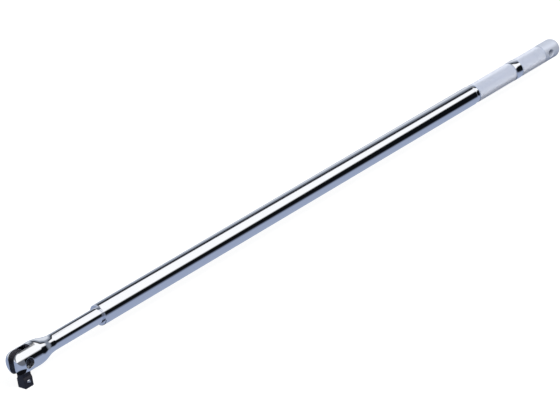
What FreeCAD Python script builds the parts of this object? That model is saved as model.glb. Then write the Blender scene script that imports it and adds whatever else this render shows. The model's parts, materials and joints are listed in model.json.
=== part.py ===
import FreeCAD, Part
import math
import os
from FreeCAD import Vector

# Breaker bar with a half-inch square drive, in millimetres.
# The origin is the centre of the drive square's end face, +Z is up, and the handle runs along +X.
# Every piece is first built about the pivot, which is the point where the pin's axis (Y) crosses
# the bar's axis (X). save() then lifts it to its height above the square's end face.

# ---- Driving dimensions ----
OVERALL_LENGTH = 1000.0
DRIVE_SQUARE = 12.7
PIVOT_HEIGHT = 31.75            # bar axis above the end of the square
HEAD_DIAMETER = 29.5
SLOT_WIDTH = 9.0
PIN_DIAMETER = 9.0
NECK_DIAMETER = 19.05
TUBE_DIAMETER = 25.4
GRIP_DIAMETER = 24.8

FIXED_GAP = 0.02                # radial gap between pieces that don't move on each other
RUNNING_GAP = 0.05              # radial gap between pieces that do
OVERCUT = 1.0                   # how far a cutter runs past the face it opens

# ---- Places along the bar, measured from the pivot ----
HEAD_RADIUS = HEAD_DIAMETER / 2
HEAD_CORNER_RADIUS = 9.0        # rounding of the fork's nose
SLOT_FLOOR = 12.5
TAPER_START = 25.0
TAPER_END = 41.0
TUBE_START = 120.0
TUBE_END = 803.0
SHANK_END = TUBE_START + 86.0   # the neck runs on inside the tube as its shank
CORE_START = TUBE_END - 60.0
COLLAR_END = TUBE_END + 6.0     # the smooth collar ahead of the front knurl
BAND_START = 887.0
BAND_END = 900.0
CAP_START = 951.0
BAR_END = OVERALL_LENGTH - HEAD_RADIUS

NECK_RADIUS = NECK_DIAMETER / 2
TUBE_RADIUS = TUBE_DIAMETER / 2
TUBE_BORE_RADIUS = NECK_RADIUS + FIXED_GAP
GRIP_RADIUS = GRIP_DIAMETER / 2
COLLAR_RADIUS = 12.1
BAND_RADIUS = 12.6

# ---- Head ----
SLOT_CORNER_RADIUS = 0.8
TAPER_BLEND_RADIUS = 45.0       # at both ends of the taper
PIN_RADIUS = PIN_DIAMETER / 2
PIN_HALF_LENGTH = 9.6
PIN_END_CHAMFER = 0.5
RECESS_RADIUS = PIN_RADIUS + 1.5
RING_THICKNESS = 1.0
RING_GROOVE_RADIUS = RECESS_RADIUS + 0.6
RING_SIDE_GAP = 0.05
RING_WIDTH = 2.3                # reaches in over the pin's end
RING_HALF_GAP = math.radians(20)
LUG_RADIUS = 1.4
LUG_TURN = math.radians(18)     # from the gap's edge to the middle of a lug

# ---- Tang ----
KNUCKLE_RADIUS = 11.5
KNUCKLE_HALF_WIDTH = SLOT_WIDTH / 2 - RUNNING_GAP
SHOULDER_TOP = 18.2             # below the pivot, clear of the ears as the tang swings
SHOULDER_BOTTOM = 20.6
SQUARE_HALF = DRIVE_SQUARE / 2
SQUARE_CORNER_RADIUS = 1.2
SQUARE_END_CHAMFER = 0.9
KNUCKLE_RIM_CHAMFER = 0.5

# ---- Socket ball in the square ----
BALL_RADIUS = 2.5
BALL_HEIGHT = 7.75              # above the end of the square
BALL_STANDS_OUT = 1.3
BALL_HOLE_DEPTH = 9.95
LIP_DEPTH = 0.7
LIP_RADIUS = 2.25
BALL_SPRING_WIRE = 0.3          # wire radius
BALL_SPRING_COIL = 1.9          # coil radius
BALL_SPRING_TURNS = 4

# ---- Friction plunger in the fork ----
PLUNGER_RADIUS = 2.95
PLUNGER_LENGTH = 9.0
PLUNGER_NOSE_RADIUS = 3.4
PLUNGER_BORE_END = 34.0
PLUNGER_TIP = KNUCKLE_RADIUS + FIXED_GAP
FRICTION_SPRING_WIRE = 0.4
FRICTION_SPRING_COIL = 2.3
FRICTION_SPRING_TURNS = 6

# ---- Lock pins, driven in from the underside ----
LOCK_PIN_RADIUS = 2.5
LOCK_PIN_DEPTH = 10.0           # from the tube's outside
LOCK_PIN_INSET = 30.0           # from the tube's end to the nearer pin
LOCK_PIN_SPACING = 28.0

# ---- Grip ----
JOURNAL_RADIUS = 8.0            # the grip core where the sleeves sit on it
STUD_RADIUS = 5.0
STUD_LENGTH = 26.0
STUD_END_GAP = 2.0
CORE_END_GAP = 1.0              # between the core's end and the cap's shoulder
SLEEVE_CHAMFER = 0.8
HANG_HOLE_RADIUS = 4.5
HANG_HOLE_FROM_END = 23.0
COUNTERSINK_SIZE = 1.4          # as wide as it is deep
CAP_CORNER_RADIUS = 9.0

X_AXIS = Vector(1, 0, 0)
Y_AXIS = Vector(0, 1, 0)
Z_AXIS = Vector(0, 0, 1)
PIVOT = Vector(0, 0, 0)


# ---- Shared shapes ----
def round_bar(radius, start, end):
    """A cylinder along X."""
    return Part.makeCylinder(radius, end - start, Vector(start, 0, 0), X_AXIS)


def cross_bar(radius, start, end, x=0.0, z=0.0):
    """A cylinder along Y."""
    return Part.makeCylinder(radius, end - start, Vector(x, start, z), Y_AXIS)


def rings(shape, x, radius):
    """The circular edges of a turned shape at one place along X and one radius."""
    found = []
    for edge in shape.Edges:
        curve = edge.Curve
        if not isinstance(curve, Part.Circle):
            continue
        if abs(curve.Center.x - x) < 1e-4 and abs(curve.Radius - radius) < 1e-4:
            found.append(edge)
    return found


def chamfered_sleeve(outer, inner, start, end, chamfer):
    """A tube along X with both outer edges chamfered."""
    blank = round_bar(outer, start, end)
    edges = rings(blank, start, outer) + rings(blank, end, outer)
    return blank.makeChamfer(chamfer, edges).cut(round_bar(inner, start, end))


def coil_spring(wire_radius, coil_radius, length, turns):
    """A coil spring along +Z whose wire, ends included, fills exactly this length."""
    rise = length - 2 * wire_radius
    path = Part.Wire(Part.makeHelix(rise / turns, rise, coil_radius).Edges)
    section = Part.Wire(Part.makeCircle(wire_radius, Vector(coil_radius, 0, 0), Y_AXIS))
    spring = path.makePipeShell([section], True, True)
    spring.translate(Vector(0, 0, wire_radius))
    return spring


def aimed(shape, direction, start):
    """A shape built along +Z, turned to run along a direction from a start point."""
    moved = shape.copy()
    turn = FreeCAD.Placement(start, FreeCAD.Rotation(Z_AXIS, direction))
    moved.Placement = turn.multiply(shape.Placement)
    return moved


def save(name, shape):
    """Lift a finished piece from the pivot's frame to the part's frame, and write it."""
    piece = shape.copy()
    piece.translate(Vector(0, 0, PIVOT_HEIGHT))
    piece.exportStep(f"parts/{name}.step")


# ---- Lock pins ----
def lock_pin_places(end, inward):
    """Where two lock pins sit, counted from a tube end; inward is +1 or -1 along X."""
    return [end + inward * (LOCK_PIN_INSET + i * LOCK_PIN_SPACING) for i in range(2)]


FRONT_PIN_PLACES = lock_pin_places(TUBE_START, +1)
REAR_PIN_PLACES = lock_pin_places(TUBE_END, -1)


def lock_pin_hole(x):
    """The cutter for one lock pin: in from below, through the tube wall, into what it holds."""
    top = Vector(x, 0, -TUBE_RADIUS + LOCK_PIN_DEPTH)
    length = LOCK_PIN_DEPTH + OVERCUT
    return Part.makeCylinder(LOCK_PIN_RADIUS + FIXED_GAP, length, top, -Z_AXIS)


def lock_pin(x):
    """One lock pin, its outer end ground to the tube's round."""
    top = Vector(x, 0, -TUBE_RADIUS + LOCK_PIN_DEPTH - FIXED_GAP)
    blank = Part.makeCylinder(LOCK_PIN_RADIUS, LOCK_PIN_DEPTH + OVERCUT, top, -Z_AXIS)
    ground = round_bar(TUBE_RADIUS, x - 2 * LOCK_PIN_RADIUS, x + 2 * LOCK_PIN_RADIUS)
    return blank.common(ground)


# ---- Head ----
def fork_blank():
    """The turned head, taper, neck and shank, before the slot is cut."""
    nose = -HEAD_RADIUS
    flat = HEAD_RADIUS - HEAD_CORNER_RADIUS
    middle = HEAD_CORNER_RADIUS * math.sqrt(0.5)
    corner = Part.Arc(
        Vector(nose, 0, flat),
        Vector(nose + HEAD_CORNER_RADIUS - middle, 0, flat + middle),
        Vector(nose + HEAD_CORNER_RADIUS, 0, HEAD_RADIUS),
    ).toShape()
    outline = [
        Vector(nose + HEAD_CORNER_RADIUS, 0, HEAD_RADIUS),
        Vector(TAPER_START, 0, HEAD_RADIUS),
        Vector(TAPER_END, 0, NECK_RADIUS),
        Vector(SHANK_END, 0, NECK_RADIUS),
        Vector(SHANK_END, 0, 0),
        Vector(nose, 0, 0),
        Vector(nose, 0, flat),
    ]
    wire = Part.Wire([corner] + Part.makePolygon(outline).Edges)
    blank = Part.Face(wire).revolve(PIVOT, X_AXIS, 360)
    blends = rings(blank, TAPER_START, HEAD_RADIUS) + rings(blank, TAPER_END, NECK_RADIUS)
    return blank.makeFillet(TAPER_BLEND_RADIUS, blends)


def fork_slot():
    """The slot cutter, with a small radius along the foot of each ear."""
    length = HEAD_DIAMETER + SLOT_FLOOR
    corner = Vector(SLOT_FLOOR - length, -SLOT_WIDTH / 2, -HEAD_DIAMETER)
    cutter = Part.makeBox(length, SLOT_WIDTH, 2 * HEAD_DIAMETER, corner)
    feet = [
        edge
        for edge in cutter.Edges
        if all(abs(v.X - SLOT_FLOOR) < 1e-6 for v in edge.Vertexes)
        and edge.Length > SLOT_WIDTH + OVERCUT
    ]
    return cutter.makeFillet(SLOT_CORNER_RADIUS, feet)


def fork_head():
    """The fork: two ears, taper, neck and shank, with the bores that the head's parts sit in."""
    head = fork_blank().cut(fork_slot())
    reach = HEAD_RADIUS + OVERCUT
    head = head.cut(cross_bar(PIN_RADIUS + FIXED_GAP, -reach, reach))
    for side in (-1, 1):
        inner, outer = sorted((side * PIN_HALF_LENGTH, side * reach))
        head = head.cut(cross_bar(RECESS_RADIUS, inner, outer))
        groove = PIN_HALF_LENGTH + RING_THICKNESS + 2 * RING_SIDE_GAP
        inner, outer = sorted((side * PIN_HALF_LENGTH, side * groove))
        head = head.cut(cross_bar(RING_GROOVE_RADIUS, inner, outer))
    plunger_bore = round_bar(
        PLUNGER_RADIUS + RUNNING_GAP, SLOT_FLOOR - OVERCUT, PLUNGER_BORE_END
    )
    head = head.cut(plunger_bore)
    for x in FRONT_PIN_PLACES:
        head = head.cut(lock_pin_hole(x))
    return head


def pivot_pin():
    """The plain pin the tang swings on."""
    pin = cross_bar(PIN_RADIUS, -PIN_HALF_LENGTH, PIN_HALF_LENGTH)
    ends = [edge for edge in pin.Edges if isinstance(edge.Curve, Part.Circle)]
    return pin.makeChamfer(PIN_END_CHAMFER, ends)


def snap_ring(side):
    """A C-shaped ring with two drilled lugs, open downwards, in one ear's groove."""
    outer = RING_GROOVE_RADIUS - RING_SIDE_GAP
    inner = outer - RING_WIDTH
    ring = cross_bar(outer, 0, RING_THICKNESS).cut(cross_bar(inner, 0, RING_THICKNESS))
    reach = 2 * outer
    gap = [
        PIVOT,
        Vector(-reach * math.sin(RING_HALF_GAP), 0, -reach * math.cos(RING_HALF_GAP)),
        Vector(reach * math.sin(RING_HALF_GAP), 0, -reach * math.cos(RING_HALF_GAP)),
        PIVOT,
    ]
    ring = ring.cut(Part.Face(Part.makePolygon(gap)).extrude(Vector(0, RING_THICKNESS, 0)))
    lug_reach = outer - LUG_RADIUS
    lug_angle = RING_HALF_GAP + LUG_TURN
    for turn in (-1, 1):
        x = turn * lug_reach * math.sin(lug_angle)
        z = -lug_reach * math.cos(lug_angle)
        ring = ring.fuse(cross_bar(LUG_RADIUS, 0, RING_THICKNESS, x, z))
        ring = ring.cut(cross_bar(LUG_RADIUS / 2, 0, RING_THICKNESS, x, z))
    inner_face = PIN_HALF_LENGTH + RING_SIDE_GAP
    y = inner_face if side > 0 else -inner_face - RING_THICKNESS
    ring.translate(Vector(0, y, 0))
    return ring.removeSplitter()


# ---- Tang ----
def ball_hole_mouth():
    """The middle of the socket ball's hole, on the -Y face of the square."""
    return Vector(0, -SQUARE_HALF, BALL_HEIGHT - PIVOT_HEIGHT)


def drive_tang():
    """Knuckle, leg and square in one piece, with the blind hole for the socket ball."""
    side = [
        Vector(-SQUARE_HALF, -KNUCKLE_HALF_WIDTH, 0),
        Vector(-SQUARE_HALF, -KNUCKLE_HALF_WIDTH, -SHOULDER_TOP),
        Vector(-SQUARE_HALF, -SQUARE_HALF, -SHOULDER_BOTTOM),
        Vector(-SQUARE_HALF, -SQUARE_HALF, -PIVOT_HEIGHT),
        Vector(-SQUARE_HALF, SQUARE_HALF, -PIVOT_HEIGHT),
        Vector(-SQUARE_HALF, SQUARE_HALF, -SHOULDER_BOTTOM),
        Vector(-SQUARE_HALF, KNUCKLE_HALF_WIDTH, -SHOULDER_TOP),
        Vector(-SQUARE_HALF, KNUCKLE_HALF_WIDTH, 0),
        Vector(-SQUARE_HALF, -KNUCKLE_HALF_WIDTH, 0),
    ]
    leg = Part.Face(Part.makePolygon(side)).extrude(Vector(DRIVE_SQUARE, 0, 0))
    upright = [
        edge
        for edge in leg.Edges
        if all(v.Z < -SHOULDER_BOTTOM + 1e-6 for v in edge.Vertexes)
        and abs(edge.Vertexes[0].Z - edge.Vertexes[-1].Z) > 1
    ]
    leg = leg.makeFillet(SQUARE_CORNER_RADIUS, upright)
    end_edges = [
        edge for edge in leg.Edges if all(abs(v.Z + PIVOT_HEIGHT) < 1e-6 for v in edge.Vertexes)
    ]
    leg = leg.makeChamfer(SQUARE_END_CHAMFER, end_edges)
    knuckle = cross_bar(KNUCKLE_RADIUS, -KNUCKLE_HALF_WIDTH, KNUCKLE_HALF_WIDTH)
    rims = [edge for edge in knuckle.Edges if isinstance(edge.Curve, Part.Circle)]
    knuckle = knuckle.makeChamfer(KNUCKLE_RIM_CHAMFER, rims)
    tang = knuckle.fuse(leg).removeSplitter()
    tang = tang.cut(cross_bar(PIN_RADIUS + RUNNING_GAP, -SLOT_WIDTH, SLOT_WIDTH))
    mouth = ball_hole_mouth()
    bore_radius = BALL_RADIUS + RUNNING_GAP
    lip = Part.makeCone(LIP_RADIUS, bore_radius, LIP_DEPTH, mouth, Y_AXIS)
    bore = Part.makeCylinder(
        bore_radius, BALL_HOLE_DEPTH - LIP_DEPTH, mouth + Vector(0, LIP_DEPTH, 0), Y_AXIS
    )
    return tang.cut(lip.fuse(bore))


def ball_centre():
    return ball_hole_mouth() + Vector(0, BALL_RADIUS - BALL_STANDS_OUT, 0)


def socket_ball():
    return Part.makeSphere(BALL_RADIUS, ball_centre())


def socket_ball_spring():
    """The spring between the ball's back and the floor of its hole."""
    touch = BALL_RADIUS + BALL_SPRING_WIRE + FIXED_GAP
    seat = math.sqrt(touch**2 - BALL_SPRING_COIL**2)
    start = ball_centre() + Vector(0, seat - BALL_SPRING_WIRE, 0)
    length = ball_hole_mouth().y + BALL_HOLE_DEPTH - FIXED_GAP - start.y
    spring = coil_spring(BALL_SPRING_WIRE, BALL_SPRING_COIL, length, BALL_SPRING_TURNS)
    return aimed(spring, Y_AXIS, start)


# ---- Friction plunger ----
def friction_plunger():
    """A round-nosed plunger that presses on the knuckle's rim and holds the tang at any angle."""
    body = round_bar(PLUNGER_RADIUS, PLUNGER_TIP, PLUNGER_TIP + PLUNGER_LENGTH)
    nose_centre = Vector(PLUNGER_TIP + PLUNGER_NOSE_RADIUS, 0, 0)
    behind = round_bar(PLUNGER_RADIUS, nose_centre.x, PLUNGER_TIP + PLUNGER_LENGTH)
    return body.common(Part.makeSphere(PLUNGER_NOSE_RADIUS, nose_centre).fuse(behind))


def friction_spring():
    start = PLUNGER_TIP + PLUNGER_LENGTH + FIXED_GAP
    length = PLUNGER_BORE_END - FIXED_GAP - start
    spring = coil_spring(
        FRICTION_SPRING_WIRE, FRICTION_SPRING_COIL, length, FRICTION_SPRING_TURNS
    )
    return aimed(spring, X_AXIS, Vector(start, 0, 0))


# ---- Handle ----
def handle_tube():
    tube = chamfered_sleeve(TUBE_RADIUS, TUBE_BORE_RADIUS, TUBE_START, TUBE_END, SLEEVE_CHAMFER)
    for x in FRONT_PIN_PLACES + REAR_PIN_PLACES:
        tube = tube.cut(lock_pin_hole(x))
    return tube


def grip_core():
    """The bar inside the grip: a spigot in the tube, then the journal under the sleeves."""
    spigot = round_bar(NECK_RADIUS, CORE_START, TUBE_END - FIXED_GAP)
    core_end = CAP_START - CORE_END_GAP
    core = spigot.fuse(round_bar(JOURNAL_RADIUS, CORE_START, core_end))
    stud_hole_start = CAP_START - STUD_LENGTH - STUD_END_GAP
    core = core.cut(round_bar(STUD_RADIUS + FIXED_GAP, stud_hole_start, CAP_START))
    for x in REAR_PIN_PLACES:
        core = core.cut(lock_pin_hole(x))
    return core


def grip_ring(radius, start, end):
    """A sleeve on the journal. Its knurl, where it has one, is finer than this model's detail."""
    inner = JOURNAL_RADIUS + FIXED_GAP
    return chamfered_sleeve(radius, inner, start + FIXED_GAP, end - FIXED_GAP, SLEEVE_CHAMFER)


def end_cap():
    """The rounded cap with its stud and the hanging hole."""
    blank = round_bar(GRIP_RADIUS, CAP_START, BAR_END)
    blank = blank.makeFillet(CAP_CORNER_RADIUS, rings(blank, BAR_END, GRIP_RADIUS))
    blank = blank.makeChamfer(SLEEVE_CHAMFER, rings(blank, CAP_START, GRIP_RADIUS))
    cap = blank.fuse(round_bar(STUD_RADIUS, CAP_START - STUD_LENGTH, CAP_START + OVERCUT))
    hole_x = BAR_END - HANG_HOLE_FROM_END
    cap = cap.cut(cross_bar(HANG_HOLE_RADIUS, -TUBE_RADIUS, TUBE_RADIUS, hole_x))
    for side in (-1, 1):
        mouth = Vector(hole_x, side * GRIP_RADIUS, 0)
        countersink = Part.makeCone(
            HANG_HOLE_RADIUS + COUNTERSINK_SIZE,
            HANG_HOLE_RADIUS,
            COUNTERSINK_SIZE,
            mouth,
            Y_AXIS * -side,
        )
        cap = cap.cut(countersink)
    return cap


def main():
    os.makedirs("parts", exist_ok=True)
    save("fork_head", fork_head())
    save("pivot_pin", pivot_pin())
    save("pin_snap_ring_near", snap_ring(-1))
    save("pin_snap_ring_far", snap_ring(+1))
    save("drive_tang", drive_tang())
    save("socket_ball", socket_ball())
    save("socket_ball_spring", socket_ball_spring())
    save("friction_plunger", friction_plunger())
    save("friction_spring", friction_spring())
    save("handle_tube", handle_tube())
    save("grip_core", grip_core())
    save("grip_collar", grip_ring(COLLAR_RADIUS, TUBE_END, COLLAR_END))
    save("front_grip_sleeve", grip_ring(GRIP_RADIUS, COLLAR_END, BAND_START))
    save("grip_band", grip_ring(BAND_RADIUS, BAND_START, BAND_END))
    save("rear_grip_sleeve", grip_ring(GRIP_RADIUS, BAND_END, CAP_START))
    save("end_cap", end_cap())
    for number, x in enumerate(FRONT_PIN_PLACES, 1):
        save(f"front_lock_pin_{number}", lock_pin(x))
    for number, x in enumerate(REAR_PIN_PLACES, 1):
        save(f"rear_lock_pin_{number}", lock_pin(x))


main()
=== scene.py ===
"""Looks of the breaker bar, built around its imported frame.

Blender works in metres, but the shapes here are written in millimetres about the pivot, which is
where the pin's axis (Y) crosses the bar's axis (X). place() turns them into the frame's metres.
"""

import json
import math

import bpy
import numpy as np
from mathutils import Matrix, Vector


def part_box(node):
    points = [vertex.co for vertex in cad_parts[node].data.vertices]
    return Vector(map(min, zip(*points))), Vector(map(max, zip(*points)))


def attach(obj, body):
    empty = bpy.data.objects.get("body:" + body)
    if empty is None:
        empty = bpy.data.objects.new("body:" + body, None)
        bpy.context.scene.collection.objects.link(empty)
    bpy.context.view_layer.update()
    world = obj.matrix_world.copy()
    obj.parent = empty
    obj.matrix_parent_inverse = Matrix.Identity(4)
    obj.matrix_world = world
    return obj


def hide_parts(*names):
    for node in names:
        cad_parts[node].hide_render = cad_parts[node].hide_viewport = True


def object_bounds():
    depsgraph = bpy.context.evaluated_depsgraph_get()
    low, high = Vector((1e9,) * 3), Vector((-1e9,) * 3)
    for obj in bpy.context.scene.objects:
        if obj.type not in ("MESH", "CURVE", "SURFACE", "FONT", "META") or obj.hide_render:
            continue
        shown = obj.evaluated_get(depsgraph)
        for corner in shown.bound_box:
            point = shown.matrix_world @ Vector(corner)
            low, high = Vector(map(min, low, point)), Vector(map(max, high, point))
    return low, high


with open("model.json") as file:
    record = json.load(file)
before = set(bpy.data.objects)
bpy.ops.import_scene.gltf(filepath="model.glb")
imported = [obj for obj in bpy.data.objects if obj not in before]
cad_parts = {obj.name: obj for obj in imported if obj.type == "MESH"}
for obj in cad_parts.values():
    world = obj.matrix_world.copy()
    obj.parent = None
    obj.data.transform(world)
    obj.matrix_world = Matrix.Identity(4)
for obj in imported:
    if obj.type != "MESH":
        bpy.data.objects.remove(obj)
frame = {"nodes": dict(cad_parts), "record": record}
cad_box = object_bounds()

MM = 0.001
FIXED_GAP = 0.02                # radial gap between pieces that are pressed together


# ---- Sizes, from the frame ----
def middle(node):
    low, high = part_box(node)
    return (low + high) / 2


PIVOT = middle("pivot_pin")


def reach(node):
    """A node's lowest and highest corner, in millimetres from the pivot."""
    return [np.array(corner - PIVOT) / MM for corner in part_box(node)]


def ends(node):
    """Where a node starts and ends along the bar."""
    low, high = reach(node)
    return float(low[0]), float(high[0])


def radius(node):
    """The outside radius of a node that is turned about the bar's axis."""
    low, high = reach(node)
    return float(max(high[1], high[2], -low[1], -low[2]))


HEAD_RADIUS = radius("fork_head")
NOSE, SHANK_END = ends("fork_head")
TUBE_START, TUBE_END = ends("handle_tube")
TUBE_RADIUS = radius("handle_tube")
GRIP_RADIUS = radius("front_grip_sleeve")
STUD_START, BAR_END = ends("end_cap")
CAP_START = ends("rear_grip_sleeve")[1] + FIXED_GAP
PIN_END = float(reach("pivot_pin")[1][1])
SQUARE_END = float(reach("drive_tang")[0][2])
SQUARE_HALF = float(reach("drive_tang")[1][1])
BALL_PLACE = np.array(middle("socket_ball") - PIVOT) / MM
LOCK_PINS = [
    float((middle(node).x - PIVOT.x) / MM)
    for node in ("front_lock_pin_1", "front_lock_pin_2", "rear_lock_pin_2", "rear_lock_pin_1")
]
NECK_RADIUS = radius("grip_core")
TUBE_BORE_RADIUS = NECK_RADIUS + FIXED_GAP
JOURNAL_BORE_RADIUS = 8.0 + FIXED_GAP


# ---- Distance formulas: negative inside a shape, positive outside ----
def round_union(a, b, r):
    """Both shapes together, with a fillet of radius r where they meet."""
    corner = np.hypot(np.maximum(r - a, 0), np.maximum(r - b, 0))
    return np.maximum(r, np.minimum(a, b)) - corner


def round_common(a, b, r):
    """What two shapes share, its edge rounded to radius r."""
    return -round_union(-a, -b, r)


def round_cut(a, b, r):
    """Shape a without shape b, its edge rounded to radius r."""
    return round_common(a, -b, r)


def soft_max(a, b, ease):
    """The larger of two distances, eased over from one to the other where they are close."""
    near = np.maximum(ease - np.abs(a - b), 0)
    return np.maximum(a, b) + near**2 / (4 * ease)


def soft_min(a, b, ease):
    return -soft_max(-a, -b, ease)


# ---- Meshing a distance formula ----
SLOPE_STEP = 0.001
SMALLEST_SLOPE = 0.05           # squared; keeps a settling step finite where the slope is nearly 0
SETTLING_STEPS = 5


def stations(*spans):
    """Grid places along one axis, from (start, end, step) spans laid end to end."""
    runs = [
        np.linspace(start, end, max(1, round((end - start) / step)), endpoint=False)
        for start, end, step in spans
    ]
    return np.concatenate(runs + [[spans[-1][1]]])


def slopes(distance, points):
    """How fast the distance changes along each axis at each point."""
    columns = []
    for axis in range(3):
        shift = np.zeros(3)
        shift[axis] = SLOPE_STEP
        ahead = distance(*(points + shift).T)
        behind = distance(*(points - shift).T)
        columns.append((ahead - behind) / (2 * SLOPE_STEP))
    return np.stack(columns, axis=1)


def crossings(values, places, axis):
    """Which grid edges along an axis cross the surface, and the crossing point of each."""
    low = np.take(values, range(values.shape[axis] - 1), axis)
    high = np.take(values, range(1, values.shape[axis]), axis)
    crossed = (low < 0) != (high < 0)
    share = np.where(crossed, low / np.where(crossed, low - high, 1.0), 0.0)
    grid = [place.copy() for place in places]
    grid[axis] = places[axis][:-1]
    points = np.stack(np.meshgrid(*grid, indexing="ij"), axis=-1)
    gap = np.diff(places[axis]).reshape([-1 if k == axis else 1 for k in range(3)])
    points[..., axis] += share * gap
    return crossed, points, low < 0


def skin(distance, xs, ys, zs):
    """The surface where a distance formula is zero: points, quads and normals.

    Every grid cell that the surface passes through gets one point, every grid edge that it crosses
    gets one quad between the four cells round it, and the points then settle onto the surface.
    """
    places = [xs, ys, zs]
    values = distance(*np.meshgrid(*places, indexing="ij"))
    cells = tuple(size - 1 for size in values.shape)
    total = np.zeros(cells + (3,))
    count = np.zeros(cells)
    edges = [crossings(values, places, axis) for axis in range(3)]
    for axis, (crossed, points, _) in enumerate(edges):
        for da in (0, 1):
            for db in (0, 1):
                window = [slice(None)] * 3
                window[(axis + 1) % 3] = slice(da, cells[(axis + 1) % 3] + da)
                window[(axis + 2) % 3] = slice(db, cells[(axis + 2) % 3] + db)
                hit = crossed[tuple(window)]
                total += points[tuple(window)] * hit[..., None]
                count += hit
    used = count > 0
    number = np.full(cells, -1)
    number[used] = np.arange(np.count_nonzero(used))
    vertices = total[used] / count[used][:, None]
    quads = []
    for axis, (crossed, _, starts_inside) in enumerate(edges):
        a, b = (axis + 1) % 3, (axis + 2) % 3
        at = np.argwhere(crossed)
        inner = (at[:, a] > 0) & (at[:, a] < cells[a]) & (at[:, b] > 0) & (at[:, b] < cells[b])
        at = at[inner]
        ring = []
        for da, db in ((1, 1), (0, 1), (0, 0), (1, 0)):
            cell = at.copy()
            cell[:, a] -= da
            cell[:, b] -= db
            ring.append(number[tuple(cell.T)])
        ring = np.stack(ring, axis=1)
        outward = starts_inside[tuple(at.T)]
        quads.append(np.where(outward[:, None], ring, ring[:, ::-1]))
    for _ in range(SETTLING_STEPS):
        slope = slopes(distance, vertices)
        squared = np.maximum((slope**2).sum(1), SMALLEST_SLOPE)
        vertices = vertices - slope * (distance(*vertices.T) / squared)[:, None]
    slope = slopes(distance, vertices)
    normals = slope / np.maximum(np.linalg.norm(slope, axis=1), 1e-6)[:, None]
    return vertices, np.concatenate(quads), normals


# ---- Making pieces ----
def place(points):
    """Millimetres about the pivot to the frame's metres."""
    return np.asarray(points, float) * MM + np.array(PIVOT)


def piece(name, points, faces, body, slot, replaced):
    """A mesh object that stands for a CAD node, rides on its body and takes its finish."""
    mesh = bpy.data.meshes.new(name)
    mesh.from_pydata(place(points).tolist(), [], [list(map(int, face)) for face in faces])
    mesh.validate()
    obj = bpy.data.objects.new(name, mesh)
    bpy.context.scene.collection.objects.link(obj)
    obj.data.materials.append(FINISHES[slot])
    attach(obj, body)
    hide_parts(replaced)
    return obj


def skinned(name, distance, grid, body, slot, replaced):
    """A piece made from a distance formula, shaded with the formula's own normals."""
    points, quads, normals = skin(distance, *grid)
    obj = piece(name, points, quads, body, slot, replaced)
    obj.data.shade_smooth()
    obj.data.normals_split_custom_set_from_vertices(normals.tolist())
    return obj


def even_grid(half, step):
    """An even grid from -half to +half."""
    return stations((-half, half, step))


# ---- Fork head ----
NOSE_CORNER = 9.0
TAPER_START = 25.0
TAPER_END = 41.0
TAPER_BLEND_RADIUS = 45.0
SLOT_HALF = 4.5
SLOT_FLOOR = 12.5
SLOT_FOOT_RADIUS = 0.8
EDGE_ROUNDING = 0.45
PIN_BORE_RADIUS = 4.52
RECESS_RADIUS = 6.0
GROOVE_RADIUS = 6.6
GROOVE_WIDTH = 1.1
PLUNGER_BORE_RADIUS = 3.0
PLUNGER_BORE_END = 34.0
LOCK_PIN_BORE_RADIUS = 2.52
LOCK_PIN_DEPTH = 10.0
BORE_ZONE = 3.0                 # either side of a lock pin, where a grid is fine


def turned_head(x, around):
    """The head, taper, neck and shank as they leave the lathe."""
    fall = (HEAD_RADIUS - NECK_RADIUS) / (TAPER_END - TAPER_START)
    tilt = math.atan(fall)
    ease = TAPER_BLEND_RADIUS * math.tan(tilt / 2) * math.sin(tilt)
    cone = (around - HEAD_RADIUS + (x - TAPER_START) * fall) * math.cos(tilt)
    head = soft_max(around - HEAD_RADIUS, cone, ease)
    bar = soft_min(head, around - NECK_RADIUS, ease)
    bar = round_common(bar, NOSE - x, NOSE_CORNER)
    return round_common(bar, x - SHANK_END, EDGE_ROUNDING)


def lock_pin_bores(x, y, z):
    """The bores that the lock pins are driven into, from below."""
    bores = [np.hypot(x - at, y) - LOCK_PIN_BORE_RADIUS for at in LOCK_PINS]
    depth = z + TUBE_RADIUS - LOCK_PIN_DEPTH
    return np.maximum(np.minimum.reduce(bores), depth)


def fork_head(x, y, z):
    around = np.hypot(y, z)
    from_pin = np.hypot(x, z)
    side = np.abs(y)
    head = turned_head(x, around)
    slot = round_common(side - SLOT_HALF, x - SLOT_FLOOR, SLOT_FOOT_RADIUS)
    head = round_cut(head, slot, EDGE_ROUNDING)
    head = np.maximum(head, PIN_BORE_RADIUS - from_pin)
    recess = np.maximum(from_pin - RECESS_RADIUS, PIN_END - side)
    head = round_cut(head, recess, EDGE_ROUNDING)
    beside = np.abs(side - PIN_END - GROOVE_WIDTH / 2) - GROOVE_WIDTH / 2
    groove = np.maximum(from_pin - GROOVE_RADIUS, beside)
    head = np.maximum(head, -groove)
    plunger_bore = np.maximum(around - PLUNGER_BORE_RADIUS, x - PLUNGER_BORE_END)
    head = np.maximum(head, -np.maximum(plunger_bore, NOSE - x))
    return np.maximum(head, -lock_pin_bores(x, y, z))


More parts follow.
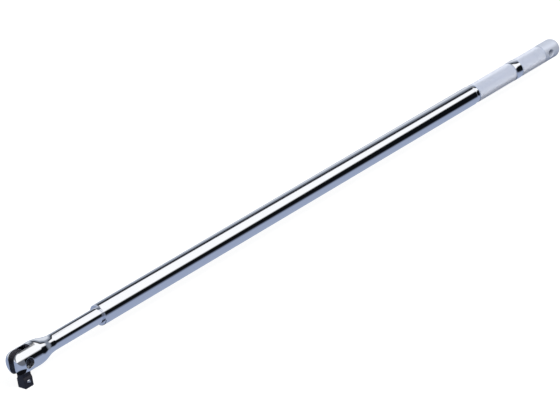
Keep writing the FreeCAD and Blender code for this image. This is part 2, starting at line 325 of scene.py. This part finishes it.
def fork_grid():
    """Fine round the ears, the lock pins' bores and the shank's end, coarse along the rest."""
    fine = 0.4
    detail = 0.25
    ears_end = SLOT_FLOOR + 1.5
    neck_start = TAPER_END + 9
    first, second = LOCK_PINS[:2]
    xs = stations(
        (NOSE - fine, ears_end, fine),
        (ears_end, neck_start, 0.8),
        (neck_start, first - BORE_ZONE, 9.0),
        (first - BORE_ZONE, first + BORE_ZONE, fine),
        (first + BORE_ZONE, second - BORE_ZONE, 5.0),
        (second - BORE_ZONE, second + BORE_ZONE, fine),
        (second + BORE_ZONE, SHANK_END - 1, 6.0),
        (SHANK_END - 1, SHANK_END + 0.3, detail),
    )
    outer = SLOT_HALF + 1
    inner = SLOT_HALF - 1
    ys = stations(
        (-HEAD_RADIUS - fine, -outer, fine),
        (-outer, -inner, detail),
        (-inner, inner, fine),
        (inner, outer, detail),
        (outer, HEAD_RADIUS + fine, fine),
    )
    return xs, ys, even_grid(HEAD_RADIUS + fine, fine)


# ---- Drive tang ----
KNUCKLE_RADIUS = 11.5
KNUCKLE_HALF = 4.45
KNUCKLE_RIM = 0.5
SHOULDER_TOP = -18.2
SHOULDER_BOTTOM = -20.6
SQUARE_CORNER = 1.2
LEG_CORNER = 0.5
LEG_FILLET = 0.5
END_CHAMFER = 0.9
TANG_BORE_RADIUS = 4.55
BALL_BORE_RADIUS = 2.55
BALL_LIP_RADIUS = 2.25
BALL_LIP_DEPTH = 0.7
BALL_BORE_DEPTH = 9.95


def drive_tang(x, y, z):
    from_pin = np.hypot(x, z)
    side = np.abs(y)
    knuckle = round_common(from_pin - KNUCKLE_RADIUS, side - KNUCKLE_HALF, KNUCKLE_RIM)
    flare = (SHOULDER_TOP - z) / (SHOULDER_TOP - SHOULDER_BOTTOM)
    flare = np.clip(flare, 0, 1)
    half = KNUCKLE_HALF + (SQUARE_HALF - KNUCKLE_HALF) * flare
    corner = LEG_CORNER + (SQUARE_CORNER - LEG_CORNER) * flare
    sides = round_common(np.abs(x) - SQUARE_HALF, side - half, corner)
    bottom = SQUARE_END - z
    chamfer = (sides + bottom + END_CHAMFER) / math.sqrt(2)
    leg = np.maximum.reduce([sides, bottom, chamfer, z])
    tang = round_union(knuckle, leg, LEG_FILLET)
    tang = np.maximum(tang, TANG_BORE_RADIUS - from_pin)
    depth = y + SQUARE_HALF
    widening = np.clip(depth / BALL_LIP_DEPTH, 0, 1) * (BALL_BORE_RADIUS - BALL_LIP_RADIUS)
    from_ball = np.hypot(x - BALL_PLACE[0], z - BALL_PLACE[2])
    bore = np.maximum(from_ball - BALL_LIP_RADIUS - widening, depth - BALL_BORE_DEPTH)
    return np.maximum(tang, -bore)


def tang_grid():
    margin = 0.3
    fine = 0.25
    xs = even_grid(KNUCKLE_RADIUS + margin, 0.3)
    ys = even_grid(SQUARE_HALF + margin, fine)
    top = KNUCKLE_RADIUS + margin
    zs = stations((SQUARE_END - margin, SHOULDER_TOP, fine), (SHOULDER_TOP, top, 0.35))
    return xs, ys, zs


# ---- Handle tube ----
TUBE_END_ROUNDING = 0.7


def handle_tube(x, y, z):
    around = np.hypot(y, z)
    beyond = np.abs(x - (TUBE_START + TUBE_END) / 2) - (TUBE_END - TUBE_START) / 2
    tube = round_common(around - TUBE_RADIUS, beyond, TUBE_END_ROUNDING)
    tube = np.maximum(tube, TUBE_BORE_RADIUS - around)
    return np.maximum(tube, -lock_pin_bores(x, y, z))


def tube_grid():
    """Fine at both ends and round the lock pins' bores, coarse along the rest."""
    fine = 0.3
    wide = 0.45
    rim = 1.2
    spans = [(TUBE_START - fine, TUBE_START + rim, 0.25)]
    done = TUBE_START + rim
    for at in LOCK_PINS:
        spans.append((done, at - BORE_ZONE, 12.0))
        spans.append((at - BORE_ZONE, at + BORE_ZONE, fine))
        done = at + BORE_ZONE
    spans.append((done, TUBE_END - rim, 8.0))
    spans.append((TUBE_END - rim, TUBE_END + fine, 0.25))
    half = TUBE_RADIUS + 0.4
    ys = stations((-half, -BORE_ZONE, wide), (-BORE_ZONE, BORE_ZONE, fine), (BORE_ZONE, half, wide))
    return stations(*spans), ys, even_grid(half, wide)


# ---- End cap ----
CAP_CORNER = 9.0
CAP_SHOULDER_ROUNDING = 0.6
STUD_RADIUS = 5.0
HANG_HOLE_RADIUS = 4.5
HANG_HOLE_FROM_END = 23.0
COUNTERSINK = 1.4


def end_cap(x, y, z):
    around = np.hypot(y, z)
    cap = round_common(around - GRIP_RADIUS, x - BAR_END, CAP_CORNER)
    cap = round_common(cap, CAP_START - x, CAP_SHOULDER_ROUNDING)
    stud = np.maximum.reduce([around - STUD_RADIUS, STUD_START - x, x - CAP_START - 1])
    cap = np.minimum(cap, stud)
    from_hole = np.hypot(x - BAR_END + HANG_HOLE_FROM_END, z)
    cap = round_cut(cap, from_hole - HANG_HOLE_RADIUS, EDGE_ROUNDING)
    sink = (from_hole - HANG_HOLE_RADIUS - COUNTERSINK + GRIP_RADIUS - np.abs(y)) / math.sqrt(2)
    return round_cut(cap, sink, EDGE_ROUNDING)


def cap_grid():
    fine = 0.35
    stud_rim = STUD_START + 2 * fine
    shoulder = CAP_START + 1.2
    xs = stations(
        (STUD_START - 0.3, stud_rim, fine),
        (stud_rim, CAP_START - 1, 6.0),
        (CAP_START - 1, shoulder, 0.3),
        (shoulder, BAR_END + fine, fine),
    )
    across = even_grid(GRIP_RADIUS + fine, fine)
    return xs, across, across


# ---- Turned rings and knurled sleeves ----
RING_COLUMNS = 160
ARC_STEPS = 8
RING_CREASE = math.radians(40)


def wrap(rows, columns):
    """Quads between rings of points that are numbered row after row."""
    return [
        (
            row * columns + column,
            row * columns + (column + 1) % columns,
            (row + 1) * columns + (column + 1) % columns,
            (row + 1) * columns + column,
        )
        for row in range(rows - 1)
        for column in range(columns)
    ]


def ring_points(x, r, columns):
    angle = np.arange(columns) * 2 * math.pi / columns
    return np.stack([np.full(columns, x), -r * np.sin(angle), r * np.cos(angle)], axis=1)


def arc(centre_x, centre_r, r, start, end):
    """Outline points (x, radius) on an arc; angles in degrees, 0 along +X and 90 outwards."""
    angles = np.radians(np.linspace(start, end, ARC_STEPS + 1))
    return [(centre_x + r * math.cos(a), centre_r + r * math.sin(a)) for a in angles]


def turned_ring(name, node, rounding):
    """A plain ring with rounded edges, turned from its outline."""
    start, end = ends(node)
    outer = radius(node)
    outline = [(start, JOURNAL_BORE_RADIUS)]
    outline += arc(start + rounding, outer - rounding, rounding, 180, 90)
    outline += arc(end - rounding, outer - rounding, rounding, 90, 0)
    outline.append((end, JOURNAL_BORE_RADIUS))
    points = np.concatenate([ring_points(x, r, RING_COLUMNS) for x, r in outline])
    # The outline is closed, so the row after the last is the first again.
    faces = wrap(len(outline) + 1, RING_COLUMNS)
    faces = [[corner % len(points) for corner in face] for face in faces]
    obj = piece(name, points, faces, "handle", "polished_chrome", node)
    obj.data.shade_smooth()
    obj.data.set_sharp_from_angle(angle=RING_CREASE)
    return obj


KNURL_STARTS = 60
KNURL_HELIX = math.radians(30)
KNURL_DEPTH = 0.45
KNURL_FLAT = 0.22               # share of a diamond's width that is its flat top
KNURL_LAND = 0.9                # plain ring at each end of a sleeve
HALF_PEAK_PLACE = 0.4           # of a row, from the sleeve's end to a half diamond's peak
HALF_PEAK_HEIGHT = 0.7          # of the knurl's depth
KNURL_CREASE = math.radians(25)
SLEEVE_CHAMFER = 0.5


def knurled_sleeve(name, node):
    """A sleeve covered in flat-topped diamonds, between two crossed sets of helical grooves.

    The grooves cross at every second point of a grid of rows along the sleeve and columns round
    it. The points in between are the middles of the diamonds.
    """
    start, end = ends(node)
    outer = radius(node)
    root = outer - KNURL_DEPTH
    columns = 2 * KNURL_STARTS
    half_pitch = math.pi * outer / KNURL_STARTS / math.tan(KNURL_HELIX)
    first, last = start + KNURL_LAND, end - KNURL_LAND
    rows = 2 * round((last - first) / half_pitch / 2)
    points = []

    def add(column, row, r):
        angle = column * 2 * math.pi / columns
        x = first + (last - first) * row / rows
        points.append((x, -r * math.sin(angle), r * math.cos(angle)))
        return len(points) - 1

    crossing = {
        (column, row): add(column, row, root)
        for row in range(rows + 1)
        for column in range(columns)
        if (column + row) % 2 == 0 or row in (0, rows)
    }
    knurl = []
    for row in range(rows + 1):
        for column in range(columns):
            if (column + row) % 2 == 0:
                continue
            if row in (0, rows):
                knurl += half_diamond(crossing, add, column, row, columns, root)
            else:
                knurl += diamond(crossing, add, column, row, columns, outer)
    rims = [[crossing[column, row] for column in range(columns)] for row in (0, rows)]
    body = sleeve_body(points, *rims, start, end, outer)
    obj = piece(name, points, knurl + body, "handle", "knurled_chrome", node)
    smooth = [False] * len(knurl) + [True] * len(body)
    obj.data.polygons.foreach_set("use_smooth", smooth)
    obj.data.set_sharp_from_angle(angle=KNURL_CREASE)
    return obj


def diamond(crossing, add, column, row, columns, outer):
    """A flat top and the four slopes from it down to the grooves."""
    around = ((1, 0), (0, 1), (-1, 0), (0, -1))
    corners = [crossing[(column + dc) % columns, row + dr] for dc, dr in around]
    top = [add(column + dc * KNURL_FLAT, row + dr * KNURL_FLAT, outer) for dc, dr in around]
    sides = [(corners[k], corners[(k + 1) % 4], top[(k + 1) % 4], top[k]) for k in range(4)]
    return [top] + sides


def sleeve_body(points, first_rim, last_rim, start, end, outer):
    """A sleeve's ends and bore, joined to the two rims of its knurl; adds their points."""
    columns = len(first_rim)
    root = outer - KNURL_DEPTH
    rim = outer - 2 * SLEEVE_CHAMFER
    bevel = SLEEVE_CHAMFER / 2
    outline = [(end - bevel, root), (end, rim), (end, JOURNAL_BORE_RADIUS)]
    outline += [(start, JOURNAL_BORE_RADIUS), (start, rim), (start + bevel, root)]
    rings = [last_rim]
    for x, r in outline:
        rings.append(list(range(len(points), len(points) + columns)))
        points.extend(ring_points(x, r, columns).tolist())
    rings.append(first_rim)
    return [
        (low[column], low[(column + 1) % columns], high[(column + 1) % columns], high[column])
        for low, high in zip(rings, rings[1:])
        for column in range(columns)
    ]


def half_diamond(crossing, add, column, row, columns, root):
    """The half of a diamond that is left where the knurl runs out at a sleeve's end."""
    inward = 1 if row == 0 else -1
    left = crossing[(column - 1) % columns, row]
    right = crossing[(column + 1) % columns, row]
    foot = crossing[column, row]
    tip = crossing[column, row + inward]
    peak = add(column, row + inward * HALF_PEAK_PLACE, root + KNURL_DEPTH * HALF_PEAK_HEIGHT)
    ring = [foot, right, tip, left]
    if inward < 0:
        ring.reverse()
    return [(ring[k], ring[(k + 1) % 4], peak) for k in range(4)]


# ---- Node helpers for materials ----
def add_node(tree, kind, links=None, **settings):
    """A shader node with its settings, and its inputs as values or other nodes' outputs."""
    node = tree.nodes.new(kind)
    for name, value in settings.items():
        setattr(node, name, value)
    for name, value in (links or {}).items():
        if isinstance(value, bpy.types.NodeSocket):
            tree.links.new(value, node.inputs[name])
        else:
            node.inputs[name].default_value = value
    return node


def maths(tree, operation, a, b=0.0, clamp=False):
    node = add_node(tree, "ShaderNodeMath", {0: a, 1: b}, operation=operation, use_clamp=clamp)
    return node.outputs[0]


def ramp(tree, value, stops, easing="LINEAR"):
    """A colour ramp; stops are (position, colour) with positions from 0 to 1."""
    node = add_node(tree, "ShaderNodeValToRGB", {"Fac": value})
    node.color_ramp.interpolation = easing
    elements = node.color_ramp.elements
    while len(elements) < len(stops):
        elements.new(0.5)
    for element, (position, colour) in zip(elements, stops):
        element.position = position
        element.color = (*colour, 1.0)
    return node.outputs["Color"]


def noise(tree, coordinates, scale, detail=3.0):
    links = {"Vector": coordinates, "Scale": scale, "Detail": detail}
    return add_node(tree, "ShaderNodeTexNoise", links).outputs["Fac"]


def stretched(tree, coordinates, scale):
    """Coordinates scaled by a different amount along each axis."""
    links = {"Vector": coordinates, "Scale": scale}
    return add_node(tree, "ShaderNodeMapping", links).outputs["Vector"]


def mixed(tree, share, a, b, blend_type="MIX"):
    """Two colours mixed by a share of the second."""
    node = add_node(tree, "ShaderNodeMix", data_type="RGBA", blend_type=blend_type)
    sockets = {socket.identifier: socket for socket in node.inputs}
    for name, value in (("Factor_Float", share), ("A_Color", a), ("B_Color", b)):
        if isinstance(value, bpy.types.NodeSocket):
            tree.links.new(value, sockets[name])
        else:
            sockets[name].default_value = value
    return next(socket for socket in node.outputs if socket.identifier == "Result_Color")


def between(tree, value, low, high):
    """A value from 0 to 1 turned into one from low to high."""
    node = add_node(tree, "ShaderNodeMapRange", {"Value": value, "To Min": low, "To Max": high})
    return node.outputs["Result"]


def new_material(name):
    """A material with a Principled shader, ready for its links."""
    material = bpy.data.materials.new(name)
    material.use_nodes = True
    tree = material.node_tree
    shader = tree.nodes["Principled BSDF"]
    where = tree.nodes.new("ShaderNodeTexCoord").outputs["Object"]
    return material, tree, shader, where


def colour(r, g, b):
    return (r, g, b, 1.0)


def bump(tree, shader, height, depth, strength):
    links = {"Height": height, "Distance": depth, "Strength": strength}
    made = add_node(tree, "ShaderNodeBump", links)
    tree.links.new(made.outputs["Normal"], shader.inputs["Normal"])


# ---- Materials ----
def polished_chrome():
    """Mirror plate with faint buffing lines and a slight haze that varies."""
    material, tree, shader, where = new_material("polished_chrome")
    haze = noise(tree, where, 45.0)
    lines = noise(tree, stretched(tree, where, (60.0, 2600.0, 2600.0)), 1.0, 2.0)
    shader.inputs["Metallic"].default_value = 1.0
    tint = mixed(tree, haze, colour(0.80, 0.82, 0.87), colour(0.86, 0.87, 0.90))
    tree.links.new(tint, shader.inputs["Base Color"])
    rough = maths(tree, "ADD", between(tree, haze, 0.03, 0.07), between(tree, lines, 0.0, 0.03))
    tree.links.new(rough, shader.inputs["Roughness"])
    bump(tree, shader, lines, 0.00002, 0.04)
    return material


def satin_chrome():
    """Plate over a bead-blasted face, with a fine even grain."""
    material, tree, shader, where = new_material("satin_chrome")
    grain = noise(tree, where, 1500.0)
    patches = noise(tree, where, 60.0)
    tint = mixed(tree, patches, colour(0.50, 0.54, 0.63), colour(0.57, 0.60, 0.68))
    tree.links.new(tint, shader.inputs["Base Color"])
    shader.inputs["Metallic"].default_value = 0.5
    tree.links.new(between(tree, grain, 0.36, 0.46), shader.inputs["Roughness"])
    bump(tree, shader, grain, 0.00003, 0.2)
    return material


def knurled_chrome():
    """Satin plate over the knurl, duller down in the grooves, with painted shade darkening the
    grooves' colour.
    """
    material, tree, shader, where = new_material("knurled_chrome")
    split = add_node(tree, "ShaderNodeSeparateXYZ", {0: where})
    height = maths(tree, "SUBTRACT", split.outputs["Z"], PIVOT.z)
    across = maths(tree, "POWER", split.outputs["Y"], 2.0)
    around = maths(tree, "SQRT", maths(tree, "ADD", across, maths(tree, "POWER", height, 2.0)))
    root = (GRIP_RADIUS - KNURL_DEPTH) * MM
    # How high a point stands above the groove roots; it drives both the roughness and the painted
    # groove shade.
    crest_and_groove_shade = maths(tree, "DIVIDE", maths(tree, "SUBTRACT", around, root), KNURL_DEPTH * MM, clamp=True)
    speckle = noise(tree, where, 900.0)
    # Painted shade: the colour goes from a dark slate blue in the grooves to near white on the
    # crests.
    tint = mixed(tree, crest_and_groove_shade, colour(0.44, 0.50, 0.63), colour(0.95, 0.95, 0.98))
    tree.links.new(tint, shader.inputs["Base Color"])
    shader.inputs["Metallic"].default_value = 0.6
    rough = maths(tree, "ADD", between(tree, crest_and_groove_shade, 0.36, 0.22), between(tree, speckle, 0.0, 0.1))
    tree.links.new(rough, shader.inputs["Roughness"])
    bump(tree, shader, speckle, 0.00003, 0.15)
    return material


EDGE_POINTINESS = 0.53          # where a convex edge starts; a flat face has 0.5
EDGE_SHARPNESS = 9.0


def worn_oxide(name, dark, bare, wear):
    """Black oxide, rubbed through to bare steel along convex edges."""
    material, tree, shader, where = new_material(name)
    blotches = noise(tree, where, 160.0, 4.0)
    scratches = noise(tree, stretched(tree, where, (400.0, 4000.0, 300.0)), 1.0, 2.0)
    edge = add_node(tree, "ShaderNodeNewGeometry").outputs["Pointiness"]
    past_edge = maths(tree, "SUBTRACT", edge, EDGE_POINTINESS)
    edge = maths(tree, "MULTIPLY", past_edge, EDGE_SHARPNESS, clamp=True)
    worn = maths(tree, "MULTIPLY", blotches, wear)
    rubbed = maths(tree, "MULTIPLY", edge, worn, clamp=True)
    pale = colour(*(1.9 * channel for channel in dark[:3]))
    skin_tint = mixed(tree, blotches, dark, pale)
    tree.links.new(mixed(tree, rubbed, skin_tint, bare), shader.inputs["Base Color"])
    shader.inputs["Metallic"].default_value = 0.85
    rough = maths(tree, "ADD", between(tree, blotches, 0.28, 0.42), between(tree, scratches, 0, 0.1))
    tree.links.new(rough, shader.inputs["Roughness"])
    bump(tree, shader, scratches, 0.00004, 0.25)
    return material


def plain_steel(name, dark, light, roughness, scale):
    """Bare steel with fine machining lines across the bar."""
    material, tree, shader, where = new_material(name)
    grain = noise(tree, stretched(tree, where, scale), 1.0, 3.0)
    tree.links.new(mixed(tree, grain, dark, light), shader.inputs["Base Color"])
    shader.inputs["Metallic"].default_value = 1.0
    rough = between(tree, grain, roughness, roughness + 0.15)
    tree.links.new(rough, shader.inputs["Roughness"])
    bump(tree, shader, grain, 0.00003, 0.15)
    return material


FINISHES = {
    "polished_chrome": polished_chrome(),
    "satin_chrome": satin_chrome(),
    "knurled_chrome": knurled_chrome(),
    "black_oxide_tang": worn_oxide(
        "black_oxide_tang", colour(0.026, 0.025, 0.032), colour(0.42, 0.42, 0.46), 1.1
    ),
    "black_oxide": worn_oxide("black_oxide", colour(0.02, 0.02, 0.024), colour(0.2, 0.2, 0.22), 0.5),
    "bearing_steel": plain_steel(
        "bearing_steel", colour(0.72, 0.73, 0.76), colour(0.82, 0.83, 0.86), 0.06, (300.0,) * 3
    ),
    "spring_steel": plain_steel(
        "spring_steel", colour(0.30, 0.30, 0.32), colour(0.46, 0.46, 0.48), 0.3, (900.0,) * 3
    ),
    "raw_steel": plain_steel(
        "raw_steel", colour(0.42, 0.42, 0.44), colour(0.56, 0.56, 0.58), 0.35, (2500.0, 60.0, 60.0)
    ),
}


def finish_cad_nodes():
    """Every CAD node takes the finish of its slot in the record."""
    for part in frame["record"]["subparts"]:
        obj = frame["nodes"][part["node"]]
        obj.data.materials.clear()
        obj.data.materials.append(FINISHES[part["material_slot"]])


# ---- Stage, light and camera ----
FLOOR_SIZE = 40.0
WHITE = (1.0, 1.0, 1.0)

# What a polished bar mirrors, by angle round the bar's axis: 0 is level in front (-Y), 90 is
# straight up, 180 is level behind and -90 is straight down.
STUDIO_BANDS = (
    (-180, (0.30, 0.36, 0.50)),
    (-90, (0.37, 0.43, 0.58)),
    (-24, (0.36, 0.42, 0.57)),
    (-4, (0.004, 0.005, 0.007)),
    (26, (0.004, 0.005, 0.006)),
    (37, (1.15, 1.15, 1.15)),
    (110, (1.15, 1.15, 1.15)),
    (117, (0.01, 0.012, 0.016)),
    (135, (0.02, 0.023, 0.030)),
    (143, (0.16, 0.18, 0.22)),
    (154, (0.28, 0.31, 0.37)),
    (167, (0.50, 0.54, 0.60)),
    (180, (0.80, 0.83, 0.88)),
)
LEFT_WALL = (0.15, 0.16, 0.19)
END_WALL = (0.25, 0.28, 0.33)
BELOW = (0.006, 0.006, 0.008)

# Where the studio's parts start and end along the bar. A direction's X is 0.57 in what the head
# mirrors to the camera and 0.73 in what the grip's end does.
FAR_EDGE_SLANT = (0.60, 0.76)
HEAD_STEP = (0.577, 0.573)
NEAR_EDGE_BEND = (0.65, 0.71)
WALL_FOOT_SLANT = (0.62, 0.74)
LEFT_WALL_SPAN = (0.52, 0.40)
END_WALL_SPAN = (0.87, 0.93)
BELOW_SPAN = (0.55, 0.50)
BELOW_HEIGHT = (-0.70, -0.78)


def rising(tree, value, start, end):
    """0 below the start and 1 beyond the end, straight in between; the end may be the lower one."""
    past = maths(tree, "SUBTRACT", value, start)
    return maths(tree, "DIVIDE", past, end - start, clamp=True)


def product(tree, first, *others):
    """Values multiplied together."""
    for other in others:
        first = maths(tree, "MULTIPLY", first, other)
    return first


def edge_shifts(tree, along, turn):
    """How far the studio's bands shift round the bar, in radians, so that their edges slant.

    The overhead light looks narrower towards the grip, its far edge also steps down over the head,
    and the dark wall reaches lower towards the grip.
    """
    slant = maths(tree, "ADD", product(tree, rising(tree, along, *FAR_EDGE_SLANT), 0.95), -0.12)
    step = product(tree, rising(tree, along, *HEAD_STEP), 0.48)
    far = product(tree, maths(tree, "ADD", slant, step), rising(tree, turn, 0.9, 1.4))
    bend = product(tree, rising(tree, along, *NEAR_EDGE_BEND), -0.2)
    near = product(tree, bend, rising(tree, turn, 1.4, 0.9), rising(tree, turn, 0.0, 0.3))
    foot = product(tree, rising(tree, along, *WALL_FOOT_SLANT), 0.32, rising(tree, turn, 0.2, -0.2))
    return far, near, foot


def studio():
    """What the bar mirrors: an overhead light, dark walls level with the bar, and a pale floor."""
    world = bpy.data.worlds.new("studio")
    bpy.context.scene.world = world
    world.use_nodes = True
    tree = world.node_tree
    tree.nodes.clear()
    towards = tree.nodes.new("ShaderNodeTexCoord").outputs["Generated"]
    split = add_node(tree, "ShaderNodeSeparateXYZ", {0: towards})
    along, height = split.outputs["X"], split.outputs["Z"]
    front = product(tree, split.outputs["Y"], -1.0)
    turn = maths(tree, "ARCTAN2", height, front)
    for shift in edge_shifts(tree, along, turn):
        turn = maths(tree, "ADD", turn, shift)
    share = maths(tree, "ADD", maths(tree, "DIVIDE", turn, 2 * math.pi), 0.5)
    stops = [((angle + 180) / 360, tone) for angle, tone in STUDIO_BANDS]
    bands = ramp(tree, share, stops)
    # The dark wall ends left of the bar, a grey wall closes the far end, and it is dark below.
    left = rising(tree, along, *LEFT_WALL_SPAN)
    bands = mixed(tree, left, bands, colour(*LEFT_WALL), "LIGHTEN")
    bands = mixed(tree, rising(tree, along, *END_WALL_SPAN), bands, colour(*END_WALL))
    under = product(tree, rising(tree, height, *BELOW_HEIGHT), rising(tree, along, *BELOW_SPAN))
    bands = mixed(tree, under, bands, colour(*BELOW))
    eye = tree.nodes.new("ShaderNodeLightPath").outputs["Is Camera Ray"]
    seen = mixed(tree, eye, bands, colour(*WHITE))
    light = add_node(tree, "ShaderNodeBackground", {"Color": seen, "Strength": 1.0})
    out = tree.nodes.new("ShaderNodeOutputWorld")
    tree.links.new(light.outputs["Background"], out.inputs["Surface"])


FLOOR_GLOW_SEEN = 0.9
FLOOR_GLOW_ON_OTHERS = 0.05


def pale_floor():
    """A plain pale floor that glows to the camera, so it takes only a faint shadow."""
    half = FLOOR_SIZE / 2
    mesh = bpy.data.meshes.new("floor")
    corners = [(-half, -half, 0), (half, -half, 0), (half, half, 0), (-half, half, 0)]
    mesh.from_pydata(corners, [], [(0, 1, 2, 3)])
    floor = bpy.data.objects.new("floor", mesh)
    bpy.context.scene.collection.objects.link(floor)
    material = bpy.data.materials.new("pale_floor")
    material.use_nodes = True
    tree = material.node_tree
    shader = tree.nodes["Principled BSDF"]
    shader.inputs["Base Color"].default_value = colour(0.16, 0.16, 0.16)
    shader.inputs["Roughness"].default_value = 1.0
    shader.inputs["Specular IOR Level"].default_value = 0.0
    shader.inputs["Emission Color"].default_value = colour(*WHITE)
    eye = tree.nodes.new("ShaderNodeLightPath").outputs["Is Camera Ray"]
    glow = between(tree, eye, FLOOR_GLOW_ON_OTHERS, FLOOR_GLOW_SEEN)
    tree.links.new(glow, shader.inputs["Emission Strength"])
    mesh.materials.append(material)
    floor.visible_glossy = False


def soft_light(name, at, size, power):
    """A large area light that points at the middle of the bar and leaves no mirror image."""
    data = bpy.data.lights.new(name, "AREA")
    data.shape = "DISK"
    data.size = size
    data.energy = power
    lamp = bpy.data.objects.new(name, data)
    lamp.location = at
    aim = Vector(((cad_box[0].x + cad_box[1].x) / 2, 0, PIVOT.z)) - Vector(at)
    lamp.rotation_mode = "QUATERNION"
    lamp.rotation_quaternion = aim.to_track_quat("-Z", "Y")
    lamp.visible_glossy = False
    bpy.context.scene.collection.objects.link(lamp)


CAMERA_FROM_PIVOT = Vector((-1.7375, -2.1428, 1.3353))
CAMERA_AZIMUTH = math.radians(-45.34)
CAMERA_ELEVATION = math.radians(23.695)
CAMERA_ROLL = math.radians(-8.46)
CAMERA_FIELD = math.radians(11.43)


def camera():
    """The view from the front left and above, with the bar running up to the right."""
    data = bpy.data.cameras.new("camera")
    data.sensor_fit = "HORIZONTAL"
    data.angle = CAMERA_FIELD
    data.clip_start = 0.01
    data.clip_end = 100.0
    obj = bpy.data.objects.new("camera", data)
    level = math.cos(CAMERA_ELEVATION)
    back = Vector(
        (
            math.sin(CAMERA_AZIMUTH) * level,
            -math.cos(CAMERA_AZIMUTH) * level,
            math.sin(CAMERA_ELEVATION),
        )
    )
    right = Vector((0, 0, 1)).cross(back).normalized()
    up = back.cross(right)
    basis = Matrix((right, up, back)).transposed()
    obj.matrix_world = (
        Matrix.Translation(PIVOT + CAMERA_FROM_PIVOT)
        @ basis.to_4x4()
        @ Matrix.Rotation(CAMERA_ROLL, 4, "Z")
    )
    bpy.context.scene.collection.objects.link(obj)
    bpy.context.scene.camera = obj


# ---- The object ----
finish_cad_nodes()
skinned("fork_head_body", fork_head, fork_grid(), "handle", "polished_chrome", "fork_head")
skinned("drive_tang_body", drive_tang, tang_grid(), "drive_tang", "black_oxide_tang", "drive_tang")
skinned("handle_tube_body", handle_tube, tube_grid(), "handle", "polished_chrome", "handle_tube")
skinned("end_cap_body", end_cap, cap_grid(), "handle", "satin_chrome", "end_cap")
turned_ring("grip_collar_ring", "grip_collar", rounding=0.5)
turned_ring("grip_band_ring", "grip_band", rounding=0.8)
knurled_sleeve("front_grip_knurl", "front_grip_sleeve")
knurled_sleeve("rear_grip_knurl", "rear_grip_sleeve")

studio()
pale_floor()
soft_light("key", at=(0.1, -1.9, 2.4), size=1.2, power=120.0)
soft_light("fill", at=(1.2, 1.8, 1.8), size=2.0, power=8.0)
camera()
bpy.context.scene.view_settings.view_transform = "Standard"
